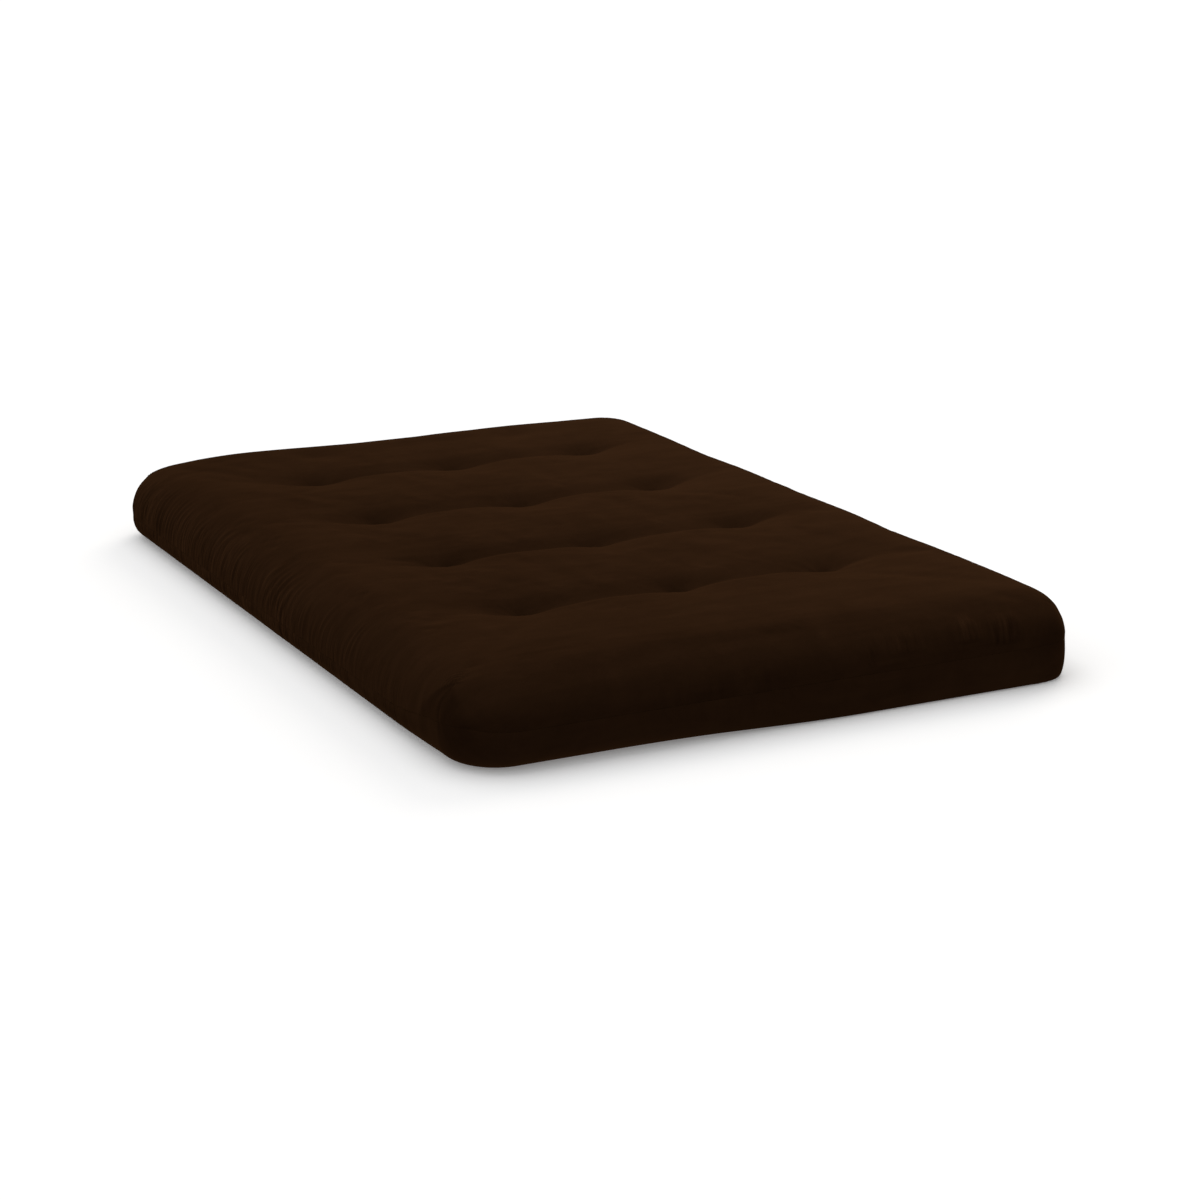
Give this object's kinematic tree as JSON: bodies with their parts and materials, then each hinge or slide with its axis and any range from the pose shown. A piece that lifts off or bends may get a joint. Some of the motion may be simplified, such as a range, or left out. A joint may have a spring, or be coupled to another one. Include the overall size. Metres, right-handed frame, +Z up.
{
  "type": "futon mattress",
  "caption": "Tufted futon mattress in a sewn microfibre case, with rounded corners, a mid-side seam and a fold from bed to sofa.",
  "frame": {"origin": "centre of the underside, on the surface that the mattress lies on", "axes": "+X across the mattress from the seat's front edge to the back's top edge, +Y along its length, +Z up out of the sleeping side"},
  "size_m": [1.3, 1.905, 0.16],
  "materials": {
    "microfibre": "brushed nap",
    "sewing_thread": "satin",
    "felt_barrier": "matte felt",
    "cotton_batting": "fibrous",
    "polyester_pad": "fibrous",
    "foam": "open cell foam",
    "tufting_twine": "waxed"
  },
  "bodies": {
    "seat_section": {"seat_case_top": "microfibre", "seat_case_bottom": "microfibre", "seat_case_seam": "sewing_thread", "seat_barrier_top": "felt_barrier", "seat_barrier_bottom": "felt_barrier", "seat_cotton_top": "cotton_batting", "seat_pad_top": "polyester_pad", "seat_foam_core": "foam", "seat_edge_roll": "cotton_batting", "seat_pad_bottom": "polyester_pad", "seat_cotton_bottom": "cotton_batting", "seat_upper_knots": "tufting_twine", "seat_lower_knots": "tufting_twine", "tuft_twine_c1_r1": "tufting_twine", "tuft_twine_c1_r2": "tufting_twine", "tuft_twine_c1_r3": "tufting_twine", "tuft_twine_c1_r4": "tufting_twine"},
    "back_section": {"back_case_top": "microfibre", "back_case_bottom": "microfibre", "back_case_seam": "sewing_thread", "back_barrier_top": "felt_barrier", "back_barrier_bottom": "felt_barrier", "back_cotton_top": "cotton_batting", "back_pad_top": "polyester_pad", "back_foam_core": "foam", "back_edge_roll": "cotton_batting", "back_pad_bottom": "polyester_pad", "back_cotton_bottom": "cotton_batting", "back_upper_knots": "tufting_twine", "back_lower_knots": "tufting_twine", "tuft_twine_c2_r1": "tufting_twine", "tuft_twine_c2_r2": "tufting_twine", "tuft_twine_c2_r3": "tufting_twine", "tuft_twine_c2_r4": "tufting_twine", "tuft_twine_c3_r1": "tufting_twine", "tuft_twine_c3_r2": "tufting_twine", "tuft_twine_c3_r3": "tufting_twine", "tuft_twine_c3_r4": "tufting_twine"}
  },
  "joints": [
    {"name": "sofa_fold", "type": "hinge", "parent": "seat_section", "child": "back_section", "pos_m": [-0.14, 0, 0.16], "axis": [0, -1, 0], "range_deg": [0, 75]}
  ]
}
